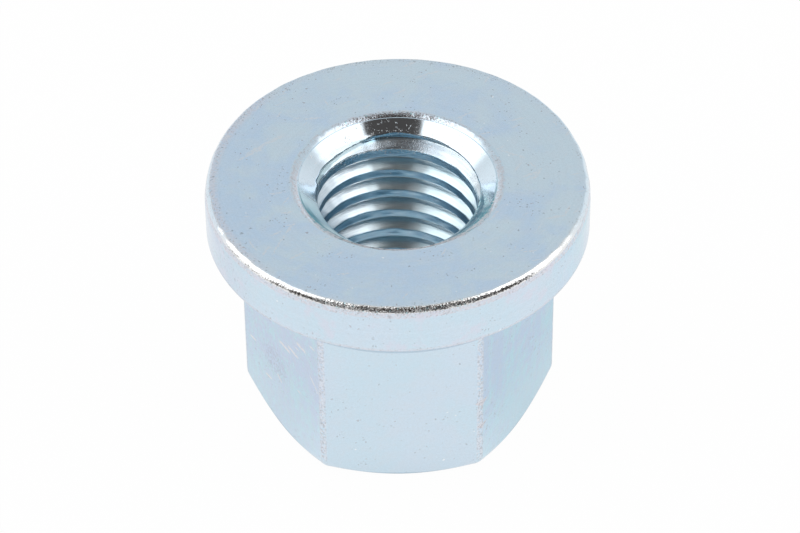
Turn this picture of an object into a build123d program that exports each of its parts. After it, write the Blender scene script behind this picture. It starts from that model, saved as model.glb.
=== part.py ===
from build123d import *
from build123d.topology import SkipClean
from math import ceil, radians, tan
import os

# Flange nut, one and a half diameters high: hexagon and round collar in one piece, tapped through.
#
# Frame: millimetres, +Z up. The nut stands on the end face of its hexagon. The origin is the
# centre of that face, +Z runs along the thread to the collar's bearing face, and two corners of
# the hexagon lie on the X axis.

# Thread: ISO metric coarse, right hand.
THREAD_DIAMETER = 12.0          # nominal (major) diameter
PITCH = 1.75
THREAD_DEPTH = 0.8              # from the nominal diameter in to the crests, on the radius
FLANK_ANGLE = 60.0              # between the two flanks
ROOT_FLAT = 0.22                # the groove's width at the nominal diameter
ROOT_CLEARANCE = 0.05           # by which the groove goes deeper than the nominal diameter
GROOVE_HEIGHT = 0.5             # the groove's middle above the end face, over the +X axis

# Hexagon.
ACROSS_FLATS = 18.0
NUT_HEIGHT = 18.0               # over all, with the collar
CORNER_RADIUS = 0.5             # upright corners
END_FACE_INSET = 0.3            # from the flats in to the ring that the nut stands on
END_CHAMFER_ANGLE = 30.0        # between the turned end chamfer and the end face

# Collar.
COLLAR_DIAMETER = 25.0
COLLAR_THICKNESS = 4.8
RIM_RADIUS = 0.35               # between the bearing face and the collar's side
SKIRT_CHAMFER_WIDTH = 1.2       # chamfer between the collar's side and underside, inwards
SKIRT_CHAMFER_HEIGHT = 1.3      # the same chamfer, upwards

# Countersinks, one at each end of the thread.
COUNTERSINK_MARGIN = 0.75       # by which a mouth is wider than the thread, on the radius
COUNTERSINK_ANGLE = 90.0        # included angle
MOUTH_RADIUS = 0.4              # between the upper countersink and the bearing face

# How the turned and swept surfaces are divided.
SECTORS = 4                     # the collar and the hole are turned in quarters
OVERRUN_TURNS = 2               # turns by which the thread's groove starts and ends outside the nut

# Worked out from the sizes above.
thread_radius = THREAD_DIAMETER / 2
crest_radius = thread_radius - THREAD_DEPTH
root_radius = thread_radius + ROOT_CLEARANCE
mouth_radius = thread_radius + COUNTERSINK_MARGIN
end_face_radius = ACROSS_FLATS / 2 - END_FACE_INSET
collar_radius = COLLAR_DIAMETER / 2
collar_underside = NUT_HEIGHT - COLLAR_THICKNESS


def hexagon():
    """Hexagon bar with rounded corners. Its end is turned to a cone that cuts arcs in the flats."""
    chamfer_reach = ACROSS_FLATS / 2
    chamfer_rise = chamfer_reach * tan(radians(END_CHAMFER_ANGLE))
    with BuildPart() as bar:
        with BuildSketch():
            RegularPolygon(ACROSS_FLATS / 2, 6, major_radius=False)
            fillet(vertices(), CORNER_RADIUS)
        extrude(amount=NUT_HEIGHT - RIM_RADIUS)
        with BuildSketch(Plane.XZ):
            Polygon(
                (0, 0),
                (end_face_radius, 0),
                (end_face_radius + chamfer_reach, chamfer_rise),
                (end_face_radius + chamfer_reach, NUT_HEIGHT),
                (0, NUT_HEIGHT),
                align=None,
            )
        revolve(axis=Axis.Z, mode=Mode.INTERSECT)
    return bar.part


def turned(section):
    """A half section's full turn about Z, as equal sectors."""
    sector = revolve(section, Axis.Z, 360 / SECTORS)
    return [Rot(0, 0, 360 / SECTORS * i) * sector for i in range(SECTORS)]


def collar_section():
    """Half section of the collar: flat bearing face, rounded rim, straight side, chamfer below."""
    with BuildSketch(Plane.XZ) as section:
        Polygon(
            (0, collar_underside),
            (collar_radius - SKIRT_CHAMFER_WIDTH, collar_underside),
            (collar_radius, collar_underside + SKIRT_CHAMFER_HEIGHT),
            (collar_radius, NUT_HEIGHT),
            (0, NUT_HEIGHT),
            align=None,
        )
        fillet(vertices().group_by(Axis.Y)[-1].sort_by(Axis.X)[-1], RIM_RADIUS)
    return section.sketch


def hole_section():
    """Half section of the tapping hole with a countersink at each end."""
    countersink_depth = (mouth_radius - crest_radius) / tan(radians(COUNTERSINK_ANGLE / 2))
    return Plane.XZ * Polygon(
        (0, 0),
        (mouth_radius, 0),
        (crest_radius, countersink_depth),
        (crest_radius, NUT_HEIGHT - countersink_depth),
        (mouth_radius, NUT_HEIGHT),
        (0, NUT_HEIGHT),
        align=None,
    )


def groove():
    """The thread's groove in half turns, from below the end face to above the bearing face."""
    tool_radius = crest_radius - ROOT_CLEARANCE
    start = GROOVE_HEIGHT - OVERRUN_TURNS * PITCH

    def half_width(radius):
        return ROOT_FLAT / 2 + (thread_radius - radius) * tan(radians(FLANK_ANGLE / 2))

    section = Plane.XZ * Polygon(
        (tool_radius, start - half_width(tool_radius)),
        (root_radius, start - half_width(root_radius)),
        (root_radius, start + half_width(root_radius)),
        (tool_radius, start + half_width(tool_radius)),
        align=None,
    )
    path = Pos(0, 0, start) * Helix(PITCH, PITCH / 2, crest_radius)
    half_turn = sweep(section, path, is_frenet=True)
    half_turns = ceil(2 * (NUT_HEIGHT / PITCH + 2 * OVERRUN_TURNS))
    return [Pos(0, 0, PITCH / 2 * i) * Rot(0, 0, 180 * i) * half_turn for i in range(half_turns)]


# The sectors keep their edges, so neighbouring faces aren't merged.
with SkipClean():
    nut = hexagon()
    for sector in turned(collar_section()):
        nut = nut + sector
    for sector in turned(hole_section()):
        nut = nut - sector
    bearing_face_edges = nut.edges().group_by(Axis.Z)[-1].filter_by(GeomType.CIRCLE)
    nut = fillet(bearing_face_edges.sort_by(SortBy.RADIUS)[:SECTORS], MOUTH_RADIUS)
    nut = nut - groove()

os.makedirs("parts", exist_ok=True)
export_step(nut, "parts/flange_nut.step")
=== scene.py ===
"""Dresses the flange nut: a zinc-plated body with its thread, on a white floor in soft light."""

import math

import bmesh
import bpy
import numpy as np
from mathutils import Matrix, Vector


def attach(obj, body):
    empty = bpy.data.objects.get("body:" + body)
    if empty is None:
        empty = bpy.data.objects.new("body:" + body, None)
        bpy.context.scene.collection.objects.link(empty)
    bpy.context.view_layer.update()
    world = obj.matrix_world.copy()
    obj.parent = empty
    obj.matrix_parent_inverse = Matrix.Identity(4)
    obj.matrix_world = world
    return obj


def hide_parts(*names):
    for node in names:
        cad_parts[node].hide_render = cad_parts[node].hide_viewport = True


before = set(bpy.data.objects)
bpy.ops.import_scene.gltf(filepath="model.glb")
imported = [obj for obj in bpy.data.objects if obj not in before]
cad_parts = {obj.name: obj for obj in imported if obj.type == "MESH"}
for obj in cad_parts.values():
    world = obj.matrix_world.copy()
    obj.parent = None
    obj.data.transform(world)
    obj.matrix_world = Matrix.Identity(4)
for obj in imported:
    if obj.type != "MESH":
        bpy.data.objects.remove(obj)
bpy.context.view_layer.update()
scene = bpy.context.scene
MM = 0.001

# ----------------------------------------
# Sizes, in millimetres. The nut stands on the end face of its hexagon at z = 0, thread along +Z,
# two corners of the hexagon on the X axis. Its front is at -Y, its left at -X.

THREAD_RADIUS = 6.0
CREST_RADIUS = 5.2
ROOT_RADIUS = 5.92
PITCH = 1.75
ROOT_FLAT = 0.22
GROOVE_HEIGHT = 0.5                 # of the groove's middle over the +X axis
FLANK_SLOPE = math.tan(math.radians(30.0))
DRAGGED_SLOPE = math.tan(math.radians(36.0))    # of the flank that faces up
CREST_ROUND = 0.07
ROOT_ROUND = 0.08
BELL = (0.05, 16.5, 0.7)            # the crests' widening at the top: amount, height, length
BURR = (0.60, 0.03, 0.005)          # on a crest's upper edge: place, width, height

# The groove's end in the upper countersink.
LIFT = (0.10, 15.6, 0.3)            # of its lower flank on the left: amount, start, passage
RUNOUT_HEIGHT = 16.95               # above it the groove is hardly deeper than the cone
RUNOUT_DEPTH = 0.03
END_HEIGHT = 16.4                   # above it the groove ends on the left
END_DEPTH = 1.2
RUNOUT_SLOPE = 3.0                  # by which both limits are released below
RUNOUT_ROUND = 0.03
FEATHER_ROUNDS = (0.05, 0.34)       # of the edge above it: all round, and added at the back
LOWER_EDGE_ROUND = 0.2              # between thread and lower countersink

APOTHEM = 9.0
CORNER_RADIUS = 0.5
END_FACE_RADIUS = 8.85
END_FACE_ROUND = 0.12
END_CHAMFER_SLOPE = math.tan(math.radians(26.0))
END_CHAMFER_ROUNDS = (0.06, 1.2)    # at the middle of a flat and at a corner
NECK_ROUND = 0.3

COLLAR_RADIUS = 12.5
COLLAR_UNDERSIDE = 13.2
COLLAR_FACE = 18.0
RIM_ARCS = ((0.0, 52.0, 0.33), (52.0, 75.0, 0.83), (75.0, 90.0, 3.2))    # slopes and radius
RIM_AT_BACK = 0.3                   # the worn rim's size at the back, against the front
SKIRT_CHAMFER_WIDTH = 1.2
SKIRT_CHAMFER_HEIGHT = 1.3
SKIRT_ROUNDS = (0.2, 0.28)          # of the chamfer's lower and upper edge

MOUTH_RADIUS = 6.75
COUNTERSINK_RADIUS = 6.60           # where the upper countersink's cone would meet the face
MOUTH_EDGE = 6.82                   # of the mouth's sloping edge, which ends on a narrow ledge
MOUTH_ROUNDS = (0.2, 0.35)          # at the front and at the back
LEDGE = (6.47, 6.42, 17.82)         # outer and inner radius, height
FRONT_WEAR = 0.17                   # by which ledge and cone are wider at the very front
END_MOUTH_ROUND = 0.08

FRONT = 270.0                       # angles of the front and the back, in degrees from +X
BACK = 90.0
SUPPORT = 0.05                      # from an arc's end to the support point beside it
RELIEF = 0.05                       # height of one unit of the materials' relief


# ----------------------------------------
# Shape

def column_angles():
    """Angles round the nut: close at the hexagon's corners, 1.5 degrees apart elsewhere."""
    near_corner = np.array([0.0, 0.35, 0.7, 1.05, 1.4, 1.6, 2.2])
    between = np.linspace(2.2, 57.8, 38)[1:-1]
    sector = np.concatenate([near_corner, between, 60.0 - near_corner[:0:-1]])
    return np.radians(np.concatenate([sector + 60.0 * i for i in range(6)] + [[360.0]]))


def hexagon_radius(angle):
    """Distance from the axis to the rounded hexagon: apothem / cos of the angle from the middle
    of a flat, and near a corner the far crossing with the corner's circle."""
    from_corner = np.radians(np.abs((np.degrees(angle) + 30.0) % 60.0 - 30.0))
    half = math.radians(30.0)
    flat = APOTHEM / np.cos(half - from_corner)
    centre = (APOTHEM - CORNER_RADIUS) / math.cos(half)
    inside = np.maximum(CORNER_RADIUS**2 - (centre * np.sin(from_corner)) ** 2, 0.0)
    arc = centre * np.cos(from_corner) + np.sqrt(inside)
    tangent = math.atan2(CORNER_RADIUS * math.sin(half), centre + CORNER_RADIUS * math.cos(half))
    return np.where(from_corner < tangent, arc, flat)


def rounded_section(corners):
    """A section line in (radius, height), one per angle, whose corners become arcs.

    corners is a list of (radius, height, round, steps). An arc runs between the tangent points,
    round * tan(half the turn) before and after the corner, and its points turn evenly from one
    tangent point to the other about the arc's centre. A support point stands just outside each
    end of an arc. Corners with round 0 stay points.
    """
    points = [np.stack(np.broadcast_arrays(np.asarray(r, float), np.asarray(z, float)), -1)
              for r, z, _, _ in corners]
    count = max(p.shape[0] if p.ndim > 1 else 1 for p in points)
    points = [np.broadcast_to(p, (count, 2)) for p in points]
    line = []
    for i, (_, _, size, steps) in enumerate(corners):
        here = points[i]
        if np.all(np.equal(size, 0)):
            line.append(here)
            continue
        size = np.broadcast_to(size, (count,))[:, None]
        before = here - points[i - 1]
        after = points[i + 1] - here
        before = before / np.linalg.norm(before, axis=1, keepdims=True)
        after = after / np.linalg.norm(after, axis=1, keepdims=True)
        turn = np.arccos(np.clip((before * after).sum(1, keepdims=True), -1.0, 1.0))
        reach = size * np.tan(turn / 2)
        inward = after - before
        inward = inward / np.linalg.norm(inward, axis=1, keepdims=True)
        centre = here + inward * size / np.cos(turn / 2)
        start = here - before * reach - centre
        end = here + after * reach - centre
        line.append(here - before * (reach + SUPPORT))
        for w in np.linspace(0.0, 1.0, steps + 1):
            spoke = np.sin((1 - w) * turn) * start + np.sin(w * turn) * end
            line.append(centre + spoke / np.sin(turn))
        line.append(here + after * (reach + SUPPORT))
    return np.stack(line)           # rows, angles, (radius, height)


def softened_max(a, b, width):
    """The greater of a and b, with a parabola of that width where they cross."""
    overlap = np.maximum(width - np.abs(a - b), 0.0) / width
    return np.maximum(a, b) + overlap**2 * width / 4


def softened_min(a, b, width):
    """The smaller of a and b, softened in the same way."""
    return -softened_max(-a, -b, width)


def ripple(run, seed, low=0.7, high=9.0):
    """Irregular wave along the thread: a sum of sines whose frequencies and phases come from the
    seed, scaled to about one."""
    waves = 9
    rng = np.random.default_rng(seed)
    frequencies = rng.uniform(low, high, waves)
    phases = rng.uniform(0, 2 * math.pi, waves)
    weights = rng.uniform(0.4, 1.0, waves)
    total = sum(w * np.sin(f * run + p) for w, f, p in zip(weights, frequencies, phases))
    return total / math.sqrt((weights**2).sum() / 2)


def scalloped(angles, seed, low, high):
    """Irregular wave round the axis: a sum of sines with whole numbers of waves per turn and with
    phases from the seed, scaled to about one."""
    waves = 14
    rng = np.random.default_rng(seed)
    counts = rng.integers(low, high, waves)
    phases = rng.uniform(0, 2 * math.pi, waves)
    return np.sin(counts[:, None] * angles + phases[:, None]).sum(0) / math.sqrt(waves / 2)


def rim_line(angles):
    """The collar's worn rim as corners for rounded_section, from the side up to the face. From the
    face outwards its slope grows from 0 to 90 degrees on arcs of growing radius. The wear is full
    over the front half and fades to the back."""
    slopes = np.array([0, 5, 10, 16, 22, 28, 34, 40, 46, 52, 56, 60, 65, 70, 75, 80, 85, 90.0])
    reach = np.zeros(len(slopes))
    drop = np.zeros(len(slopes))
    for low, high, radius in RIM_ARCS:
        part = np.radians(np.clip(slopes, low, high))
        reach += radius * (np.sin(part) - math.sin(math.radians(low)))
        drop += radius * (math.cos(math.radians(low)) - np.cos(part))
    front = np.clip(1.0 - np.sin(angles), 0.0, 1.0)
    worn = RIM_AT_BACK + (1.0 - RIM_AT_BACK) * front**2 * (3.0 - 2.0 * front)
    worn = worn * (1.0 + 0.045 * scalloped(angles, 11, 18, 75))
    line = [(COLLAR_RADIUS, COLLAR_FACE - worn * drop[-1] - 0.1, 0, 0)]
    for x, z in zip(reach[::-1], drop[::-1]):
        line.append((COLLAR_RADIUS - worn * (reach[-1] - x), COLLAR_FACE - worn * z, 0, 0))
    line.append((COLLAR_RADIUS - worn * reach[-1] - 0.06, COLLAR_FACE, 0, 0))
    return line


def front_wear(angles):
    """What the wear adds to the countersink's radius: it grows to the front with the cube of the
    sine."""
    return FRONT_WEAR * np.maximum(-np.sin(angles), 0.0) ** 3


def mouth_line(angles):
    """The mouth's sloping, scalloped edge and the ledge under it, from the face to the cone."""
    back = 0.5 + 0.5 * np.sin(angles)
    wear = front_wear(angles)
    edge = MOUTH_EDGE + 0.02 * scalloped(angles, 21, 20, 75) + 0.6 * wear
    in_front, behind = MOUTH_ROUNDS
    size = in_front + (behind - in_front) * back + 0.05 * scalloped(angles, 22, 30, 80)
    size = np.clip(size, 0.12, 0.45)
    outer, inner, level = LEDGE
    outer = outer + wear
    inner = inner + wear
    return [
        (edge, COLLAR_FACE, size, 7),
        (outer + 0.012, level + 0.015, 0, 0),
        (outer, level, 0, 0),
        (outer - 0.015, level, 0, 0),
        (inner + 0.015, level, 0, 0),
        (inner, level, 0, 0),
        (inner - 0.012, level - 0.012, 0, 0),
    ]


def hole_rows():
    """Heights of the hole's rows relative to the groove's middle, over one pitch: close together
    at the root and at the edges of the crest."""
    half = np.array([0.06, 0.11, 0.2, 0.33, 0.46, 0.53, 0.572, 0.615, 0.67, 0.77])
    return np.concatenate([-half[::-1], [0.0], half, [PITCH / 2]])


def on_left(degrees, start, rise, fall):
    """One on the left of the nut: it rises over that many degrees from the start angle, and falls
    to nothing at the front."""
    return np.clip((degrees - start) / rise, 0.0, 1.0) * np.clip((FRONT - degrees) / fall, 0.0, 1.0)


def thread_radius(height, angles):
    """Radius of the tapped hole's thread. It falls from the root along a 60 degree V to the crest,
    and irregular waves along the thread stand for its finish."""
    beside = height - GROOVE_HEIGHT - PITCH * angles[None, :] / (2 * math.pi)
    turn = np.round(beside / PITCH)
    beside = beside - turn * PITCH
    run = angles[None, :] + 2 * math.pi * turn

    sharpness = np.clip((height - 9.0) / 9.0, 0.0, 1.0)
    wobble = 0.012 * ripple(run, 3) + 0.008 * ripple(run, 4, low=12.0, high=40.0)
    widening, below, length = BELL
    bell = widening * np.exp(-np.maximum(below - height, 0.0) / length)
    crest = CREST_RADIUS + bell + 0.012 * ripple(run + 2.0 * np.sign(beside), 5, low=3.0, high=25.0)
    edge = ROOT_FLAT / 2 + (THREAD_RADIUS - CREST_RADIUS) * FLANK_SLOPE
    slope = np.where(beside < 0, DRAGGED_SLOPE, FLANK_SLOPE)
    # The last turn's lower flank rises a little where it meets the countersink, on the left.
    amount, start, passage = LIFT
    left = on_left(np.degrees(angles)[None, :], 100.0, 30.0, 30.0)
    raised = amount * left * np.clip((height - start) / passage, 0.0, 1.0) * (beside < 0)
    side = CREST_RADIUS + (edge - np.abs(beside) - raised + wobble * sharpness) / slope
    # A low burr stands on the crest's upper edge.
    place, width, size = BURR
    uneven = 1 + 0.5 * ripple(run, 6, low=4.0, high=20.0)
    burr = np.exp(-((np.abs(beside) - place) / width) ** 2) * uneven
    crest = crest - size * burr * (beside < 0)
    return softened_min(softened_max(crest, side, CREST_ROUND), ROOT_RADIUS, ROOT_ROUND)


def run_out(thread, cone, height, degrees):
    """The groove's end in the countersink: near the mouth it is hardly deeper than the cone, and
    on the left it ends."""
    left = on_left(degrees, 100.0, 30.0, 30.0)
    ended = on_left(degrees, 140.0, 28.0, 20.0)
    runout = np.maximum(RUNOUT_HEIGHT - 0.12 * left - height, 0.0)
    limit = cone + RUNOUT_DEPTH - 0.045 * ended + RUNOUT_SLOPE * runout
    thread = softened_min(thread, limit, RUNOUT_ROUND)
    released = RUNOUT_SLOPE * np.maximum(END_HEIGHT - height, 0.0)
    limit = np.maximum(cone + END_DEPTH - 1.22 * ended + released, CREST_RADIUS + 0.04)
    return softened_min(thread, limit, RUNOUT_ROUND)


def hole_wall(angles, low, high):
    """The tapped hole between two heights, as rows that climb with the thread.

    A row's height is the groove's height plus the pitch times the turn, plus its place across
    the groove, kept between low and high. Its radius is the greatest of the thread's and the two
    countersinks'.
    """
    across = hole_rows()
    first = -3
    last = int(COLLAR_FACE / PITCH) + 2
    turns = np.repeat(np.arange(first, last + 1), len(across))
    across = np.tile(across, last + 1 - first)
    middle = GROOVE_HEIGHT + PITCH * (turns[:, None] + angles[None, :] / (2 * math.pi))
    height = np.clip(middle + across[:, None], low, high)

    degrees = np.degrees(angles)[None, :]
    upper = COUNTERSINK_RADIUS + front_wear(angles)[None, :] - (COLLAR_FACE - height)
    lower = MOUTH_RADIUS - height
    thread = run_out(thread_radius(height, angles), upper, height, degrees)
    # The feather edge between the thread and the upper countersink is broken, most at the back.
    everywhere, at_back = FEATHER_ROUNDS
    broken = everywhere + at_back * np.exp(-((degrees - BACK) / 18.0) ** 2)
    radius = softened_max(softened_max(thread, upper, broken), lower, LOWER_EDGE_ROUND)
    return np.stack([radius, height], -1)


def nut_section(angles):
    """The nut's skin as one closed section per angle: from the lower end of the hole outwards
    over the hexagon and the collar to the upper countersink, then down the hole's wall."""
    hexagon = hexagon_radius(angles)
    in_flat, in_corner = END_CHAMFER_ROUNDS
    towards_corner = np.clip((hexagon - APOTHEM) / 1.2, 0.0, 1.0)
    chamfer_round = in_flat + (in_corner - in_flat) * towards_corner
    ends = 2.0      # the cones run on to here, so that the mouths' rounds have a line to leave on
    outside = rounded_section([
        (MOUTH_RADIUS - ends, ends, 0, 0),
        (MOUTH_RADIUS, 0.0, END_MOUTH_ROUND, 3),
        (END_FACE_RADIUS, 0.0, END_FACE_ROUND, 4),
        (hexagon, (hexagon - END_FACE_RADIUS) * END_CHAMFER_SLOPE, chamfer_round, 6),
        (hexagon, COLLAR_UNDERSIDE, NECK_ROUND, 5),
        (COLLAR_RADIUS - SKIRT_CHAMFER_WIDTH, COLLAR_UNDERSIDE, SKIRT_ROUNDS[0], 4),
        (COLLAR_RADIUS, COLLAR_UNDERSIDE + SKIRT_CHAMFER_HEIGHT, SKIRT_ROUNDS[1], 5),
        *rim_line(angles),
        *mouth_line(angles),
        (COUNTERSINK_RADIUS + front_wear(angles) - ends, COLLAR_FACE - ends, 0, 0),
    ])
    # Drop the line ends and the support point inside the hole: the wall takes over there.
    outside = outside[2:-1]
    wall = hole_wall(angles, outside[0, 0, 1], outside[-1, 0, 1])
    return np.concatenate([outside, wall[::-1]])


def closed_mesh(name, section, angles):
    """Turns the section line of each angle to its place and joins neighbours with quads. Rows and
    columns that meet are merged, and the skin closes on itself."""
    rows, columns, _ = section.shape
    radius, height = section[..., 0], section[..., 1]
    points = np.stack([radius * np.cos(angles), radius * np.sin(angles), height], -1) * MM
    index = np.arange(rows * columns).reshape(rows, columns)
    wrapped = np.concatenate([index, index[:1]])
    quads = np.stack([wrapped[:-1, :-1], wrapped[:-1, 1:], wrapped[1:, 1:], wrapped[1:, :-1]], -1)
    mesh = bpy.data.meshes.new(name)
    mesh.from_pydata(points.reshape(-1, 3), [], quads.reshape(-1, 4))
    work = bmesh.new()
    work.from_mesh(mesh)
    bmesh.ops.remove_doubles(work, verts=work.verts, dist=0.0004 * MM)
    bmesh.ops.dissolve_degenerate(work, edges=work.edges, dist=0.0002 * MM)
    bmesh.ops.recalc_face_normals(work, faces=work.faces)
    work.to_mesh(mesh)
    work.free()
    mesh.shade_smooth()
    obj = bpy.data.objects.new(name, mesh)
    scene.collection.objects.link(obj)
    return obj


# ----------------------------------------
# Nodes

class Nodes:
    """Short ways to add nodes to a tree. An input may be a number, a colour as red, green and
    blue, or another node's socket."""

    def __init__(self, tree):
        self.tree = tree

    def add(self, kind, *inputs, **settings):
        """A node of that kind, its first inputs fed in order."""
        node = self.tree.nodes.new(kind)
        for name, value in settings.items():
            setattr(node, name, value)
        for socket, value in zip(node.inputs, inputs):
            self.feed(socket, value)
        return node

    def feed(self, socket, value):
        if isinstance(value, bpy.types.NodeSocket):
            self.tree.links.new(value, socket)
        elif socket.type == "RGBA":
            socket.default_value = (*value, 1.0)
        else:
            socket.default_value = value

    def math(self, operation, a, b=0.0, clamp=False):
        return self.add("ShaderNodeMath", a, b, operation=operation, use_clamp=clamp).outputs[0]

    def combine(self, operation, values):
        total = values[0]
        for value in values[1:]:
            total = self.math(operation, total, value)
        return total

    def plus(self, *values):
        return self.combine("ADD", values)

    def times(self, *values):
        return self.combine("MULTIPLY", values)

    def most(self, *values):
        """The greatest of the values."""
        return self.combine("MAXIMUM", values)

    def minus(self, a, b):
        return self.math("SUBTRACT", a, b)

    def inverse(self, value):
        """One where the value is nothing, and nothing where it is one."""
        return self.minus(1.0, value)

    def absolute(self, value):
        return self.math("ABSOLUTE", value)

    def capped(self, value):
        """The value, but one at most."""
        return self.math("MINIMUM", value, 1.0)

    def step(self, value, low, high, start=0.0, end=1.0):
        """Smooth passage from start at low to end at high."""
        return self.add("ShaderNodeMapRange", value, low, high, start, end,
                        interpolation_type="SMOOTHSTEP", clamp=True).outputs[0]

    def fade(self, value, low, high):
        """Smooth passage from one at low to nothing at high."""
        return self.step(value, low, high, 1.0, 0.0)

    def band(self, value, low, high, soft):
        """One between low and high, nothing outside, with soft edges."""
        rise = self.step(value, low - soft, low + soft)
        return self.times(rise, self.fade(value, high - soft, high + soft))

    def vector(self, x, y, z):
        return self.add("ShaderNodeCombineXYZ", x, y, z).outputs[0]

    def split(self, vector):
        return self.add("ShaderNodeSeparateXYZ", vector).outputs

    def plus_vector(self, vector, offset):
        return self.add("ShaderNodeVectorMath", vector, offset, operation="ADD").outputs[0]

    def noise(self, vector, scale, detail=2.0, roughness=0.5, distortion=0.0, output="Fac"):
        node = self.add("ShaderNodeTexNoise")
        for name, value in (("Vector", vector), ("Scale", scale), ("Detail", detail),
                            ("Roughness", roughness), ("Distortion", distortion)):
            self.feed(node.inputs[name], value)
        return node.outputs[output]

    def project(self, u, v, degrees):
        """Coordinate along a direction in the plane of u and v."""
        angle = math.radians(degrees)
        return self.plus(self.times(u, math.cos(angle)), self.times(v, math.sin(angle)))

    def sway(self, noise, amount):
        """Noise that swings about nothing instead of about a half, times an amount."""
        return self.times(self.plus(noise, -0.5), amount)

    def noise_vector(self, vector, scale, amount):
        """The vector pushed about by noise, up to that amount each way."""
        start = self.plus_vector(vector, (-amount,) * 3)
        return self.add("ShaderNodeVectorMath", self.noise(vector, scale, output="Color"),
                        (2 * amount,) * 3, start, operation="MULTIPLY_ADD").outputs[0]

    def strewn(self, vector, scale, share, size):
        """Marks strewn at random. Space is split into cells, and the given share of the cells
        holds a round mark, up to that size against the cell and of uneven size."""
        cells = self.add("ShaderNodeTexVoronoi", feature="F1")
        self.feed(cells.inputs["Vector"], vector)
        self.feed(cells.inputs["Scale"], scale)
        chance = self.add("ShaderNodeSeparateColor", cells.outputs["Color"]).outputs
        reach = self.plus(size * 0.5, self.times(chance[1], size))
        inside = self.fade(self.math("DIVIDE", cells.outputs["Distance"], reach), 0.6, 1.0)
        return self.times(inside, self.math("LESS_THAN", chance[0], share))

    def mix(self, share, a, b, blend="MIX"):
        node = self.add("ShaderNodeMix", data_type="RGBA", blend_type=blend, clamp_factor=True)
        self.feed(node.inputs[0], share)
        self.feed(node.inputs[6], a)
        self.feed(node.inputs[7], b)
        return node.outputs[2]

    def shade(self, value, low, high, colours):
        """The first colour below low, the second above high, and a smooth passage between."""
        return self.mix(self.step(value, low, high), *colours)

    def tinted(self, share, colour, tint):
        """The colour, that share of it multiplied by a tint."""
        return self.mix(share, colour, self.mix(1.0, colour, tint, "MULTIPLY"))

    def bump(self, height, distance):
        node = self.add("ShaderNodeBump")
        self.feed(node.inputs["Height"], height)
        self.feed(node.inputs["Distance"], distance)
        return node.outputs[0]


# ----------------------------------------
# Materials

class Tone:
    """Colours as linear red, green and blue. A pair holds the two ends of a passage, and a tint
    multiplies what lies under it."""

  # The passivation.
    PLAIN = ((0.62, 0.762, 0.862), (0.64, 0.757, 0.862))
    IRISED = ((0.615, 0.72, 0.89), (0.58, 0.80, 0.90))  # lilac, cyan
    RIGHT_TINT = (0.89, 0.965, 0.985)
    FOOT = (0.68, 0.83, 0.93)
    FACE = ((0.595, 0.738, 0.895), (0.655, 0.782, 0.868))  # lilac, pale
    SIDE_TINTS = ((1, 1, 1), (0.955, 0.94, 0.925))  # middle, ends
    BLOOM = (0.70, 0.745, 0.81)
    GRAIN_TINTS = ((0.98, 0.98, 0.98), (1.02, 1.02, 1.02))
    RING_TINTS = ((0.988, 0.988, 0.99), (1.01, 1.01, 1.01))

  # The hole.
    FLANK = ((0.70, 0.79, 0.85), (0.63, 0.785, 0.85))  # left, right
    # A painted dark reflection on the crests.
    CREST_REFLECTION = (0.38, 0.59, 0.735)
    DRAWN_TINTS = ((0.86, 0.88, 0.90), (1.16, 1.14, 1.12))
    # A painted reflection on the last turn's upper flank, darker in the middle.
    TOP_FLANK_REFLECTION = ((0.45, 0.53, 0.60), (0.60, 0.68, 0.73))  # middle, both sides
    # Painted light in the undercut under the feather edge: teal at the back, matt and pale
    # elsewhere.
    EDGE_PAINTED_LIGHT = (0.40, 0.62, 0.77)
    MATT_GROOVE_PAINTED_LIGHT = ((0.62, 0.80, 0.86), (0.50, 0.68, 0.76))  # left, right
    CONE = ((0.66, 0.74, 0.80), (0.75, 0.84, 0.90))  # left, right
    CONE_TINT = (0.80, 0.80, 0.80)
    # The countersink's painted reflection: pale and teal, dark at its outer edge, line and brink.
    PALE_REFLECTION = ((0.20, 0.42, 0.55), (0.66, 0.86, 0.93))  # front, back
    TEAL_REFLECTION = ((0.015, 0.13, 0.20), (0.44, 0.70, 0.78))  # front, back
    BLOTCH_TINTS = ((0.42, 0.58, 0.66), (1.5, 1.35, 1.25))
    DARK_REFLECTION_EDGE = (0.07, 0.28, 0.36)
    DARK_REFLECTION_LINE = (0.02, 0.14, 0.22)
    DARK_BRINK_REFLECTION = ((0.02, 0.08, 0.10), (0.09, 0.30, 0.37))  # front, back

  # Wear and dirt, with painted shade and reflections.
    WORN = ((0.675, 0.655, 0.70), (0.76, 0.75, 0.81))
    WORN_MOUTH = (0.60, 0.575, 0.60)
    WORN_HEXAGON = ((0.60, 0.625, 0.68), (0.77, 0.80, 0.86))
    SMUDGE = (0.72, 0.715, 0.82)
    FACE_SCRATCH = (0.76, 0.78, 0.81)
    FLAT_SCRATCH = (0.86, 0.85, 0.87)
    PATCH = (0.42, 0.46, 0.56)
    NICK = ((0.50, 0.49, 0.52), (0.74, 0.72, 0.76))
    PIT = ((0.42, 0.35, 0.36), (0.30, 0.34, 0.37))
    GLINT = (0.92, 0.95, 0.97)
    # Painted shade on the end chamfer.
    FOOT_PAINTED_SHADE = (0.27, 0.38, 0.47)
    SOILED_RIM = (0.38, 0.38, 0.42)
    POLISHED = (0.90, 0.88, 0.86)
    # A painted dark reflection along the rim.
    RIM_DARK_REFLECTION = (0.06, 0.06, 0.064)
    # Painted dark reflection in the hammered dents.
    DENT_DARK_REFLECTION = ((0.22, 0.235, 0.245), (0.25, 0.23, 0.23))  # front, back
    TEAL_DENT = (0.42, 0.66, 0.72)
    SPECK = (0.80, 0.84, 0.87)


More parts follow.
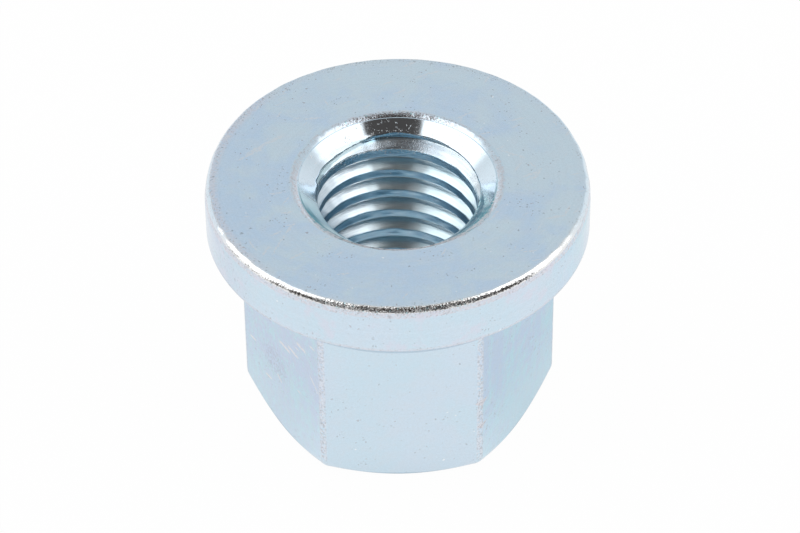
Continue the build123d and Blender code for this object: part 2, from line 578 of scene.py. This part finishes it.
# Pale scratches on the collar's face: middle x and y, length, direction in degrees, width.
FACE_SCRATCHES = (
    (-8.5, 3.75, 3.4, 39.0, 0.42),
    (-9.3, 3.0, 1.6, 36.0, 0.5),
    (-5.45, 6.3, 1.5, 6.0, 0.22),
    (-3.3, 7.8, 0.8, 37.0, 0.2),
    (-4.6, 7.9, 0.8, -73.0, 0.16),
    (-11.15, 4.5, 0.7, 54.0, 0.3),
    (-7.65, -6.2, 2.3, 71.0, 0.16),
    (-9.25, -6.15, 1.4, -66.0, 0.14),
    (-8.45, -6.75, 1.1, 68.0, 0.2),
    (2.2, 10.7, 2.0, 25.0, 0.24),
    (7.5, 2.3, 2.2, -28.0, 0.2),
    (8.8, 1.2, 0.8, -54.0, 0.16),
    (7.9, 5.2, 1.0, 36.0, 0.14),
    (10.45, 5.3, 0.6, -75.0, 0.16),
)

# Pale scratches on the flat front left: middle along it and height, length, direction, width.
FLAT_SCRATCHES = (
    (0.5, 7.95, 1.7, 2.0, 0.34),
    (1.63, 8.37, 1.6, -2.0, 0.3),
    (2.73, 9.66, 1.4, 3.0, 0.36),
    (4.36, 7.61, 1.7, -37.0, 0.2),
    (-0.39, 4.37, 0.8, -37.0, 0.22),
    (-3.2, 9.4, 0.6, 20.0, 0.14),
)

STROKES = ((33.0, 0.0), (12.0, 7.3), (62.0, 3.1))       # short strokes: direction, shift
NICKS = ((6.35, 0.5), (4.3, 0.42))                      # on one corner: height, reach


class Places:
    """Where a point of the nut is, as sockets: millimetres, and masks of the nut's own zones."""

    def __init__(self, n):
        metres = n.split(n.add("ShaderNodeTexCoord").outputs["Object"])
        self.x, self.y, self.z = (n.times(part, 1 / MM) for part in metres)
        self.spot = n.vector(self.x, self.y, self.z)
        x, y, z = self.x, self.y, self.z
        self.far = n.absolute(x)
        self.radius = n.math("SQRT", n.plus(n.times(x, x), n.times(y, y)))
        self.turn = n.math("ARCTAN2", y, x)
        radius = self.radius

        above = n.step(z, COLLAR_UNDERSIDE - 0.05, COLLAR_UNDERSIDE + 0.05)
        self.hexagon = n.times(n.inverse(above), n.step(radius, 7.0, 7.4))
        self.left_flat = n.times(self.hexagon, n.fade(x, -5.6, -5.0))
        self.face = n.times(n.step(z, 17.97, 17.99), n.step(radius, 6.95, 7.05))
        self.side = n.times(above, n.step(radius, 12.25, 12.35), n.fade(z, 17.55, 17.65))
        self.turned = n.most(self.face, self.side)
        self.cone = n.times(n.fade(radius, 6.385, 6.405), n.step(z, 16.5, 16.7))
        self.bore = n.times(n.fade(radius, 6.25, 6.35), n.fade(z, 16.4, 16.6))

        # Distance across the thread's groove from its middle, the same at every turn.
        climbed = n.times(n.plus(z, -GROOVE_HEIGHT), 1 / PITCH)
        lead = n.minus(climbed, n.times(self.turn, 0.5 / math.pi))
        self.across = n.times(n.plus(n.math("FRACT", n.plus(lead, 0.5)), -0.5), PITCH)
        off_groove = n.step(n.absolute(self.across), 0.54, 0.60)
        self.crest = n.times(off_groove, n.fade(radius, 5.34, 5.44))
        self.top_flank = n.times(self.bore, n.step(z, 15.6, 16.0))

        # Angle from the front of the nut, which is at -Y, in degrees.
        past = n.absolute(n.plus(n.times(self.turn, 180.0 / math.pi), -90.0))
        self.from_front = n.absolute(n.minus(180.0, past))
        self.in_front = n.fade(self.from_front, 14.0, 32.0)
        self.behind = n.step(self.from_front, 180.0 - 48.0, 180.0 - 30.0)

        # Places along the flats front left and right, from their middles, growing to the front.
        self.left = n.plus(n.times(x, 0.5), n.times(y, -0.866))
        self.right = n.plus(n.times(x, -0.5), n.times(y, -0.866))

        # Angle from the nearest upright corner of the hexagon, in degrees.
        sixth = n.times(self.turn, 3 / math.pi)
        self.from_corner = n.times(n.absolute(n.minus(sixth, n.math("ROUND", sixth))), 60.0)

        # The hammered edges: the rim, and the mouth at the back.
        self.rim = n.times(n.step(radius, 11.95, 12.1), n.step(z, 17.55, 17.65),
                           n.step(z, 17.95, 17.985, 1.0, 0.2))
        self.mouth = n.times(n.step(radius, 6.46, 6.48), n.fade(radius, 6.80, 6.90),
                             n.step(z, 17.79, 17.805), self.behind)
        self.hammered = n.most(self.rim, self.mouth)


def scratch(n, plane, x, y, length, degrees, width, wavy):
    """One at the middle of a scratch, falling to nothing at its ends and sides. plane holds the
    two coordinates on the surface, x and y are the scratch's middle, and wavy bends it."""
    u, v = n.plus(plane[0], -x), n.plus(plane[1], -y)
    along = n.absolute(n.project(u, v, degrees))
    beside = n.absolute(n.plus(n.project(u, v, degrees + 90.0), wavy))
    return n.times(n.fade(along, length * 0.3, length * 0.5),
                   n.fade(beside, width * 0.2, width * 0.5))


class Plating:
    """Bright blue-clear zinc on steel. colour is what the coats laid on so far give, and beside
    it stand the masks and noises that the coats share."""

    def __init__(self, n):
        self.n = n
        self.at = Places(n)
        spot = self.at.spot
        self.fine = n.noise(spot, 6.0, 3.0, 0.6)
        self.middle = n.noise(spot, 1.6, 3.0, 0.6)
        self.peen = n.noise(spot, 7.0, 2.0, 0.6)
        self.scattered = n.noise_vector(spot, 3.0, 0.18)
        self.colour = n.shade(n.noise(spot, 0.25, 2.0, 0.5), 0.4, 0.62, Tone.PLAIN)

    def lay(self, share, colour):
        """Covers that share of what lies below with a colour."""
        self.colour = self.n.mix(share, self.colour, colour)

    def tint(self, share, colour):
        """Multiplies that share of what lies below by a colour."""
        self.colour = self.n.tinted(share, self.colour, colour)


def passivate(coat):
    """Cool blue that drifts between cyan and lilac, more in upright streaks on the flats beside
    the front one, and the hole's plain colours, with a painted dark reflection on its crests."""
    n, at = coat.n, coat.at
    x, y, z, spot = at.x, at.y, at.z, at.spot
    upright = n.vector(n.times(x, 2.2), n.times(y, 2.2), n.times(z, 0.16))
    streaks = n.noise(upright, 0.9, 4.0, 0.6)
    clouds = n.noise(spot, 0.3, 4.0, 0.6, distortion=0.5)
    mottle = n.noise(n.plus_vector(spot, (2.0, 5.0, 7.0)), 0.9, 4.0, 0.7)
    grained = n.noise(n.plus_vector(spot, (7.0, 1.0, 3.0)), 3.2, 3.0, 0.7)
    right = n.step(x, -5.0, 5.0)
    from_edge = n.minus(5.2, at.right)
    bands = n.plus(n.band(from_edge, 0.1, 0.9, 0.25), n.band(from_edge, 1.6, 2.9, 0.4))
    bands = n.times(bands, right, n.step(z, 4.0, 8.0), n.step(streaks, 0.4, 0.6, 0.6, 1.0))
    drift = n.plus(
        n.plus(clouds, -0.5),
        n.sway(mottle, 0.8),
        n.sway(grained, n.plus(0.9, n.times(right, -0.5))),
        n.sway(streaks, n.plus(0.2, n.times(right, 0.3))),
        n.times(bands, -0.3),
        n.step(z, 2.0, 9.0, 0.08, -0.02),
        n.times(right, 0.06),
        -0.06,
    )
    irised = n.tinted(right, n.shade(drift, -0.22, 0.22, Tone.IRISED), Tone.RIGHT_TINT)
    irised = n.mix(n.step(z, 1.0, 7.0, 0.5, 0.0), irised, Tone.FOOT)
    flats_aside = n.times(at.hexagon, n.step(at.far, 4.7, 5.3))
    side_ends = n.times(at.side, n.step(at.far, 9.0, 12.0), 0.7)
    coat.lay(n.plus(flats_aside, side_ends), irised)
    lilac = n.plus(clouds, n.times(y, 0.004), n.times(x, 0.006))
    coat.lay(at.face, n.shade(lilac, 0.36, 0.62, Tone.FACE))
    from_middle = n.absolute(n.plus(x, -1.0))
    ends = n.shade(from_middle, 9.5, 11.0, Tone.SIDE_TINTS)
    coat.tint(n.times(at.side, n.step(y, -9.0, -5.0)), ends)
    # The crests' darker teal is a painted reflection.
    coat.lay(at.bore, n.mix(at.crest, n.shade(x, -3.5, 0.0, Tone.FLANK), Tone.CREST_REFLECTION))
    coat.lay(n.times(at.cone, 0.75), n.shade(x, 0.0, 4.0, Tone.CONE))


def paint_countersink_reflection(coat):
    """Painted reflection, matt, where the countersink faces away from the light: pale on the left
    and teal on the right. It is dark along its outer edge, in a line along its lower edge on the
    right, and on the brink above it."""
    n, at = coat.n, coat.at
    x, y, z, radius = at.x, at.y, at.z, at.radius
    slant = n.plus(n.times(n.plus(radius, -5.8), 2.6), 0.2)
    slanted = n.plus(y, n.times(n.step(x, 0.0, 3.0), slant))
    # Painted reflection: the countersink's colour where it faces away from the light.
    facing_away = n.times(at.cone, n.fade(slanted, -1.5, 0.2))
    blotches = n.shade(n.noise(at.spot, 4.5, 3.0, 0.65), 0.38, 0.6, Tone.BLOTCH_TINTS)
    teal = n.mix(1.0, n.shade(y, -3.6, -1.0, Tone.TEAL_REFLECTION), blotches, "MULTIPLY")
    film = n.mix(n.step(x, -1.0, 2.0), n.shade(y, -4.4, -0.6, Tone.PALE_REFLECTION), teal)
    outer = n.step(n.plus(radius, n.times(y, -0.12), -6.33), -0.05, 0.05)
    film = n.mix(n.times(outer, n.step(y, -3.0, -1.5, 0.9, 0.0)), film, Tone.DARK_REFLECTION_EDGE)
    # A painted dark reflection line along the lower edge on the right.
    from_dark_line = n.absolute(n.plus(radius, n.times(y, 0.11), -5.44))
    dark_line_width = n.step(y, -3.0, 0.2, 0.32, 0.05)
    dark_line = n.times(n.fade(n.math("DIVIDE", from_dark_line, dark_line_width), 0.5, 1.0),
                   n.fade(y, -0.3, 0.2), n.step(x, 2.0, 3.0))
    film = n.mix(n.times(dark_line, 0.9), film, Tone.DARK_REFLECTION_LINE)
    # Painted dark reflection on the brink above the countersink.
    brink_edge = n.step(y, n.step(x, -2.0, 3.0, -5.8, -4.2), -1.4, 6.88, 6.47)
    brink = n.times(n.step(radius, 6.35, 6.39), n.fade(n.minus(radius, brink_edge), -0.03, 0.03),
                    n.step(z, 17.5, 17.6), n.fade(y, -2.2, 1.0))
    film = n.mix(brink, film, n.shade(y, -6.2, -4.6, Tone.DARK_BRINK_REFLECTION))
    inner = n.times(at.cone, n.step(y, -2.2, -1.4), n.fade(y, -0.6, 0.1), n.step(radius, 5.6, 5.9))
    coat.tint(inner, Tone.CONE_TINT)
    # Matt, with the painted reflection laid on.
    coat.filmed = n.most(facing_away, brink)
    coat.lay(coat.filmed, film)


def finish_thread(coat):
    """A painted reflection darkens the middle of the last turn's flank, the groove under the
    countersink's feather edge is matt with painted light, and all is drawn along the helix."""
    n, at = coat.n, coat.at
    x, y, z, radius = at.x, at.y, at.z, at.radius
    # Painted reflection: darker in the middle of the flank, paler at both sides.
    top_reflection = n.shade(at.far, 2.4, 3.6, Tone.TOP_FLANK_REFLECTION)
    coat.lay(n.times(at.top_flank, n.inverse(at.crest)), top_reflection)
    # The undercut under the feather edge, where shade falls, gets painted light.
    under = n.times(n.step(n.minus(radius, z), -11.38, -11.35), n.step(z, 16.5, 16.6),
                    n.fade(radius, 6.2, 6.3))
    coat.lay(n.times(under, n.step(at.from_front, 150.0, 165.0)), Tone.EDGE_PAINTED_LIGHT)
    beyond = n.minus(at.across, n.step(x, -2.0, 2.0, -0.50, -0.32))
    coat.matt_groove = n.times(under, n.step(beyond, 0.0, 0.12),
                               n.fade(at.from_front, 150.0, 165.0))
    coat.lay(coat.matt_groove, n.shade(x, -3.0, 0.0, Tone.MATT_GROOVE_PAINTED_LIGHT))
    helix = n.vector(n.times(at.across, 4.6), n.times(x, 0.2), n.times(y, 0.2))
    coat.drawn = n.noise(helix, 1.0, 3.0, 0.75)
    coat.tint(at.bore, n.shade(coat.drawn, 0.34, 0.62, Tone.DRAWN_TINTS))


def cloud(coat):
    """Grey bloom, a fine grain, and turning marks: rings on the face, hoops on the side."""
    n, at = coat.n, coat.at
    coat.lay(n.step(coat.middle, 0.35, 0.75, 0.0, 0.25), Tone.BLOOM)
    coat.tint(1.0, n.shade(coat.fine, 0.3, 0.7, Tone.GRAIN_TINTS))
    rings = n.vector(n.times(at.radius, 5.0), n.times(at.z, 5.0), n.times(coat.middle, 0.8))
    coat.rings = n.noise(rings, 1.0, 3.0, 0.7)
    coat.tint(at.turned, n.shade(coat.rings, 0.3, 0.7, Tone.RING_TINTS))


def wear_edges(coat):
    """Thin, pale, speckled plating along the mouth, the rim, the collar's foot and the upright
    corners, and smudges on the collar's side."""
    n, at, fine = coat.n, coat.at, coat.fine
    x, y, z, radius = at.x, at.y, at.z, at.radius
    near_face = n.step(z, 17.9, 17.95)
    mouth = n.times(n.band(radius, 6.50, 6.84, 0.04), n.step(z, 17.79, 17.81),
                    n.step(y, 0.0, 3.0, 1.0, 0.4))
    beside_mouth = n.times(n.band(radius, 6.84, 6.95, 0.05), near_face,
                           n.step(coat.middle, 0.4, 0.6))
    under_rim = n.times(n.step(radius, 12.2, 12.3), n.band(z, 17.25, 17.62, 0.06))
    collar_foot = n.times(n.step(radius, 11.2, 11.4), n.band(z, 13.0, 14.66, 0.14), 0.8)
    corners = n.times(at.hexagon, n.fade(at.from_corner, 1.0, 1.7), n.step(z, 0.6, 1.6))
    beside_rim = n.times(n.step(radius, 11.5, 11.9), near_face, n.step(x, -10.0, -7.0, 0.8, 0.1))
    coat.fringe = n.plus(mouth, beside_mouth, under_rim, collar_foot, corners, beside_rim)
    coat.worn = n.times(coat.fringe, n.step(n.noise(at.spot, 4.5, 4.0, 0.75), 0.34, 0.55))
    pale = n.shade(fine, 0.35, 0.6, Tone.WORN)
    pale = n.mix(n.step(radius, 6.84, 7.1, 0.7, 0.0), pale, Tone.WORN_MOUTH)
    pale = n.mix(at.hexagon, pale, n.shade(fine, 0.4, 0.55, Tone.WORN_HEXAGON))
    coat.lay(n.times(coat.worn, 0.8), pale)
    smudges = n.noise(n.plus_vector(at.spot, (3.0, 1.0, 8.0)), 0.6, 3.0, 0.6)
    coat.lay(n.times(at.side, n.step(smudges, 0.54, 0.68), 0.5), Tone.SMUDGE)


def scratch_surfaces(coat):
    """Short light scratches on the face and the flat front left, strewn and in place."""
    n, at = coat.n, coat.at
    marks = []
    for degrees, shift in STROKES:
        along = n.plus(n.times(n.project(at.x, at.y, degrees), 0.42), shift)
        beside = n.project(at.x, at.y, degrees + 90.0)
        beside = n.times(n.plus(beside, n.times(coat.middle, 0.35)), 2.6)
        marks.append(n.strewn(n.vector(along, beside, shift), 1.0, 0.14, 0.24))
    bend = n.sway(coat.middle, 0.5)
    marks += [scratch(n, (at.x, at.y), *place, bend) for place in FACE_SCRATCHES]
    marks = n.capped(n.times(n.plus(*marks), at.face, n.step(coat.fine, 0.36, 0.55)))
    tilted = n.plus(at.z, n.times(at.left, -0.12))
    drawn_out = n.vector(n.times(at.left, 0.5), n.times(tilted, 2.2), 0.0)
    scuffs = [n.strewn(drawn_out, 1.0, 0.12, 0.24)]
    slight = n.times(bend, 0.2)
    scuffs += [scratch(n, (at.left, at.z), *place, slight) for place in FLAT_SCRATCHES]
    scuffs = n.times(n.capped(n.plus(*scuffs)), at.left_flat, n.step(coat.fine, 0.3, 0.46))
    coat.lay(n.times(marks, 0.6), Tone.FACE_SCRATCH)
    coat.lay(n.times(scuffs, 0.9), Tone.FLAT_SCRATCH)


def nick_corner(coat):
    """A darker grained patch on the flat front left, and nicks in the corner front right."""
    n, at, fine = coat.n, coat.at, coat.fine
    aside = n.plus(at.left, 0.9)
    upwards = n.plus(at.z, -5.4)
    oval = n.plus(n.times(aside, aside, 0.25), n.times(upwards, upwards, 0.35))
    patch = n.times(n.fade(oval, 0.0, 1.0), at.left_flat)
    coat.lay(n.times(patch, n.fade(fine, 0.42, 0.56), 0.36), Tone.PATCH)
    from_corner = n.absolute(n.plus(at.x, -5.25))
    nicks = []
    for height, reach in NICKS:
        from_height = n.absolute(n.plus(at.z, -height, n.sway(fine, 0.3)))
        away = n.plus(from_corner, n.times(from_height, 1.6))
        nicks.append(n.fade(away, reach * 0.8, reach))
    nicks = n.times(n.capped(n.plus(*nicks)), at.hexagon, n.fade(at.y, -8.5, -8.2))
    coat.lay(n.times(nicks, 0.8), n.shade(fine, 0.4, 0.5, Tone.NICK))


def speck(coat):
    """Brown and dark pits in patches and along the worn edges, glints on the face's right."""
    n, at = coat.n, coat.at
    patches = n.noise(n.plus_vector(at.spot, (4.0, 9.0, 2.0)), 0.4, 3.0, 0.7)
    patches = n.step(patches, 0.52, 0.64)
    on_rim = n.times(n.step(at.radius, 12.0, 12.1), n.step(at.z, 17.5, 17.6),
                     n.step(at.from_front, 52.0, 66.0, 0.0, 0.4))
    left_end = n.times(at.side, n.step(at.x, -11.0, -9.0, 0.2, 0.0))
    likely = n.plus(0.012, n.times(patches, 0.18), n.times(coat.fringe, 0.4), left_end, on_rim)
    large = n.strewn(coat.scattered, 3.4, likely, 0.24)
    small = n.plus_vector(coat.scattered, (5.0, 1.0, 3.0))
    small = n.strewn(small, 6.5, n.times(likely, 1.3), 0.36)
    pits = n.times(n.most(large, small), n.inverse(n.most(at.cone, at.bore)))
    pits = n.times(pits, n.plus(0.38, n.times(at.face, 0.2)))
    coat.lay(pits, n.shade(coat.middle, 0.42, 0.55, Tone.PIT))
    bright = n.times(at.face, n.step(at.x, 4.0, 7.5), n.step(patches, 0.0, 0.5))
    glints = n.plus_vector(coat.scattered, (1.0, 8.0, 6.0))
    glints = n.strewn(glints, 4.0, n.plus(0.008, n.times(bright, 0.10)), 0.22)
    coat.lay(n.times(glints, 0.8), Tone.GLINT)


def shade_foot_soil_rim(coat):
    """Painted shade on the end chamfer under the flats, and the soiled back of the rim."""
    n, at = coat.n, coat.at
    above_chamfer = n.plus(at.z, n.times(n.plus(at.radius, -END_FACE_RADIUS), -END_CHAMFER_SLOPE))
    # Painted shade: the chamfer under the flats darkened like its reflected contact shadow.
    foot = n.times(at.hexagon, n.fade(above_chamfer, 0.0, 0.15))
    coat.lay(n.times(foot, 0.8), Tone.FOOT_PAINTED_SHADE)
    rim = n.times(n.step(at.radius, 12.34, 12.40), n.step(at.z, 17.8, 17.9), n.step(at.y, 1.0, 4.0))
    coat.lay(n.times(rim, 0.7), Tone.SOILED_RIM)


def polish_rim_paint_reflection(coat):
    """The rim is polished, with a painted dark reflection as a ragged line along its lower edge,
    broken up in front.
    """
    n, at = coat.n, coat.at
    x, from_front = at.x, at.from_front
    polished = n.times(at.rim, n.step(at.z, 17.56, 17.62),
                       n.step(from_front, 56.0, 76.0, 0.85, 0.15))
    coat.lay(polished, Tone.POLISHED)
    # Painted dark reflection: a ragged line along the rim's lower edge.
    ragged = n.plus(at.z, n.sway(coat.peen, 0.55), n.step(from_front, 36.0, 52.0, 0.0, 0.09))
    reach = n.fade(from_front, n.step(x, -2.0, 2.0, 58.0, 40.0), n.step(x, -2.0, 2.0, 64.0, 48.0))
    gaps = n.plus(
        n.noise(n.plus_vector(at.spot, (2.0, 2.0, 5.0)), 7.0, 2.0, 0.65),
        n.times(at.in_front, -0.055),
        n.step(x, -4.0, 4.0, -0.04, 0.0),
        n.step(from_front, 36.0, 50.0, 0.0, -0.06),
    )
    rim_reflection = n.times(at.rim, n.band(ragged, 17.675, 17.87, 0.015), reach, n.step(gaps, 0.42, 0.47))
    coat.lay(n.times(rim_reflection, n.step(x, -8.0, 2.0, 0.62, 0.86)), Tone.RIM_DARK_REFLECTION)


def paint_dent_reflection_teal(coat):
    """Painted dark reflection in some dents of the hammered rim and mouth, teal in others."""
    n, at = coat.n, coat.at
    coat.struck = n.times(at.hammered, n.most(at.behind, at.in_front))
    # Painted dark reflection in the hammered dents.
    dark = n.times(coat.struck, n.fade(coat.peen, 0.40, 0.50))
    dark_mouth = n.times(at.mouth, n.fade(coat.peen, 0.46, 0.58),
                         n.step(at.from_front, 152.0, 162.0), n.step(at.z, 17.95, 17.985, 1.0, 0.4))
    dark = n.times(n.capped(n.plus(dark, dark_mouth)), 0.68)
    coat.lay(dark, n.mix(at.behind, *Tone.DENT_DARK_REFLECTION))
    teal = n.strewn(n.plus_vector(at.spot, (6.0, 2.0, 4.0)), 6.0, 0.3, 0.4)
    coat.lay(n.times(coat.struck, teal, 0.7), Tone.TEAL_DENT)


def dull_specks(coat):
    """Dull white specks: on the hammered edges, the last crests and the countersink."""
    n, at = coat.n, coat.at
    y, z, radius = at.y, at.z, at.radius
    lip = n.times(at.cone, n.step(radius, 5.60, 5.66), n.fade(radius, 5.85, 5.95),
                  n.step(y, 2.0, 4.0))
    burred = n.times(at.bore, n.step(z, 14.0, 16.0), n.band(at.across, -0.64, -0.56, 0.03))
    coat.sparks = n.times(at.bore, at.crest, n.step(z, 13.5, 15.0))
    # The countersink's painted reflection on the right.
    coat.right_film = n.times(coat.filmed, n.step(at.x, 0.0, 2.0))
    likely = n.plus(
        n.times(coat.struck, 0.12),
        n.times(at.cone, n.step(y, 1.0, 3.0), 0.09),
        n.times(lip, 0.38),
        n.times(burred, 0.2),
        n.times(coat.sparks, 0.14),
        n.times(coat.right_film, 0.3),
        n.times(at.top_flank, n.step(y, 2.0, 4.0), 0.12),
    )
    pushed = n.plus_vector(n.noise_vector(at.spot, 4.0, 0.22), (9.0, 3.0, 1.0))
    coat.specks = n.strewn(pushed, 8.5, likely, 0.34)
    coat.lay(coat.specks, Tone.SPECK)


def metallic(coat):
    """Metal all over, apart from the specks, the countersink's painted reflection and the matt end
    of the groove with its painted light.
    """
    n = coat.n
    matt = n.most(coat.specks, coat.filmed, n.times(coat.matt_groove, 0.9))
    return n.inverse(n.times(matt, 0.8))


def roughness(coat):
    """Satin outside, bright in the countersink, rougher in the thread and where the countersink's
    reflection is painted.
    """
    n, at = coat.n, coat.at
    return n.plus(
        0.17,
        n.times(at.cone, -0.06),
        n.times(at.bore, 0.12),
        n.times(at.top_flank, -0.04),
        n.times(coat.worn, 0.08),
        n.times(at.hammered, -0.06),
        n.sway(coat.middle, 0.06),
        n.times(coat.filmed, 0.3),
    )


def relief(coat):
    """Edges hammered by tumbling, lines along the thread, small dents in the countersink."""
    n, at = coat.n, coat.at
    corners = n.times(at.hexagon, n.fade(at.from_corner, 1.2, 2.0))
    blows = n.plus(0.3, n.times(at.in_front, 0.9), n.times(at.behind, 0.12))
    hammering = n.plus(
        0.02,
        n.times(at.hammered, blows),
        n.times(corners, 0.2),
        n.times(coat.sparks, 0.8),
        n.times(coat.right_film, 0.5),
    )
    height = n.plus(
        n.times(coat.peen, hammering),
        n.times(coat.drawn, at.bore, 0.4),
        n.times(n.noise(at.spot, 13.0, 1.0), at.top_flank, 0.22),
        n.times(n.strewn(coat.scattered, 4.2, 0.25, 0.22), at.cone, 0.12),
        n.times(coat.rings, at.turned, 0.01),
    )
    return n.bump(height, RELIEF * MM)


COATS = (
    passivate, paint_countersink_reflection, finish_thread, cloud, wear_edges, scratch_surfaces, nick_corner,
    speck, shade_foot_soil_rim, polish_rim_paint_reflection, paint_dent_reflection_teal, dull_specks,
)


def zinc_plate():
    material = bpy.data.materials.new("zinc_plate")
    material.use_nodes = True
    shader = material.node_tree.nodes["Principled BSDF"]
    n = Nodes(material.node_tree)
    plating = Plating(n)
    for lay_on in COATS:
        lay_on(plating)
    n.feed(shader.inputs["Base Color"], plating.colour)
    n.feed(shader.inputs["Metallic"], metallic(plating))
    n.feed(shader.inputs["Roughness"], roughness(plating))
    n.feed(shader.inputs["Normal"], relief(plating))
    return material


# ----------------------------------------
# Floor, light and camera

def white_floor():
    """A wide white floor. Seen straight it is white with a faint shadow. The nut mirrors more of
    the shadow, less of it in front and further away."""
    size = 3.0
    corners = [(-size, -size, 0), (size, -size, 0), (size, size, 0), (-size, size, 0)]
    mesh = bpy.data.meshes.new("floor")
    mesh.from_pydata(corners, [], [(0, 1, 2, 3)])
    floor = bpy.data.objects.new("floor", mesh)
    scene.collection.objects.link(floor)
    material = bpy.data.materials.new("white_floor")
    material.use_nodes = True
    material.node_tree.nodes.clear()
    n = Nodes(material.node_tree)
    plain = n.add("ShaderNodeBsdfDiffuse", (0.85, 0.85, 0.85)).outputs[0]
    glow = n.add("ShaderNodeEmission", (1.0, 1.0, 1.0), 1.0).outputs[0]
    path = n.add("ShaderNodeLightPath")
    straight, mirrored = path.outputs["Is Camera Ray"], path.outputs["Is Glossy Ray"]
    place = n.add("ShaderNodeTexCoord").outputs["Object"]
    away = n.add("ShaderNodeVectorMath", place, operation="LENGTH").outputs[1]
    shaded = n.times(n.step(n.split(place)[1], -12.0 * MM, -3.0 * MM, 0.10, 0.38),
                     n.step(away, 17.0 * MM, 25.0 * MM, 1.0, 0.3))
    share = n.plus(n.times(straight, 0.02), n.times(mirrored, shaded))
    lit = n.add("ShaderNodeMixShader", share, glow, plain).outputs[0]
    seen = n.math("ADD", straight, mirrored, clamp=True)
    surface = n.add("ShaderNodeMixShader", seen, plain, lit).outputs[0]
    n.add("ShaderNodeOutputMaterial", surface)
    mesh.materials.append(material)


def soft_studio():
    """A white tent round the nut: bright panels front left and front right, a dark gap between
    them where the tent is open, a darker strip along the front edge of the table, and an even
    light grey behind. The left panel reaches further back. How dark each is depends on the
    direction (x right, y back, z up)."""
    world = bpy.data.worlds.new("white_tent")
    scene.world = world
    world.use_nodes = True
    world.node_tree.nodes.clear()
    n = Nodes(world.node_tree)
    x, y, z = n.split(n.add("ShaderNodeTexCoord").outputs["Generated"])
    aside = n.absolute(n.plus(x, -0.045))

    # The opening between the panels is narrower overhead than in front.
    half = n.step(z, 0.65, 0.97, 0.45, 0.28)
    soft = n.step(z, 0.75, 0.95, 0.02, 0.06)
    opening = n.fade(aside, n.minus(half, soft), n.plus(half, soft))
    further = n.step(x, -0.5, 0.0, 0.13, 0.0)
    panels = n.times(n.fade(n.minus(y, further), 0.08, 0.3), n.inverse(opening))
    level = n.plus(n.step(z, 0.0, 0.6, 1.0, 0.75), n.times(panels, 0.95))
    gap = n.times(opening, n.fade(y, -0.2, 0.15), n.step(z, 0.03, 0.10))
    edge = n.step(y, -0.55, -0.25, 0.46, 0.02)
    strip = n.times(n.fade(n.minus(z, edge), -0.05, 0.03), n.fade(y, -0.3, -0.1))
    dark = n.most(gap, strip)
    in_dark = n.step(y, -0.55, -0.15, 0.085, 0.14)
    level = n.plus(n.times(level, n.inverse(dark)), n.times(dark, in_dark))
    pale = n.mix(panels, (0.965, 1.0, 1.02), (1.0, 1.0, 1.0))
    colour = n.mix(dark, pale, (1.0, 0.88, 0.82))
    tent = n.add("ShaderNodeBackground", colour, level).outputs[0]
    white = n.add("ShaderNodeBackground", (1.0, 1.0, 1.0), 1.0).outputs[0]
    straight = n.add("ShaderNodeLightPath").outputs["Is Camera Ray"]
    surface = n.add("ShaderNodeMixShader", straight, tent, white).outputs[0]
    n.add("ShaderNodeOutputWorld", surface)


def place_camera():
    """Long lens, 42 degrees above the floor, in front of the flat on -Y and half a degree to its
    left, rolled 0.64 degrees."""
    focal_length = 161.44 * MM
    distance = 236.84 * MM
    turn = Matrix.Rotation(math.radians(-0.528), 3, "Z")
    aim = turn @ Vector((0.101, 0.0, 10.394)) * MM
    elevation = math.radians(42.061)
    roll = math.radians(0.642)
    back = turn @ Vector((0.0, -math.cos(elevation), math.sin(elevation)))
    right = turn @ Vector((1.0, 0.0, 0.0))
    up = turn @ Vector((0.0, math.sin(elevation), math.cos(elevation)))
    across = math.cos(roll) * right - math.sin(roll) * up
    along = math.sin(roll) * right + math.cos(roll) * up
    data = bpy.data.cameras.new("camera")
    data.sensor_width = 36.0
    data.lens = focal_length / MM
    data.clip_start = 0.01
    camera = bpy.data.objects.new("camera", data)
    axes = Matrix((across, along, back)).transposed().to_4x4()
    camera.matrix_world = Matrix.Translation(aim + distance * back) @ axes
    scene.collection.objects.link(camera)
    scene.camera = camera


# ----------------------------------------
# The scene

angles = column_angles()
body = closed_mesh("nut_body", nut_section(angles), angles)
body.data.materials.append(zinc_plate())
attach(body, "root")
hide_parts("flange_nut")

white_floor()
soft_studio()
place_camera()
scene.view_settings.view_transform = "Standard"
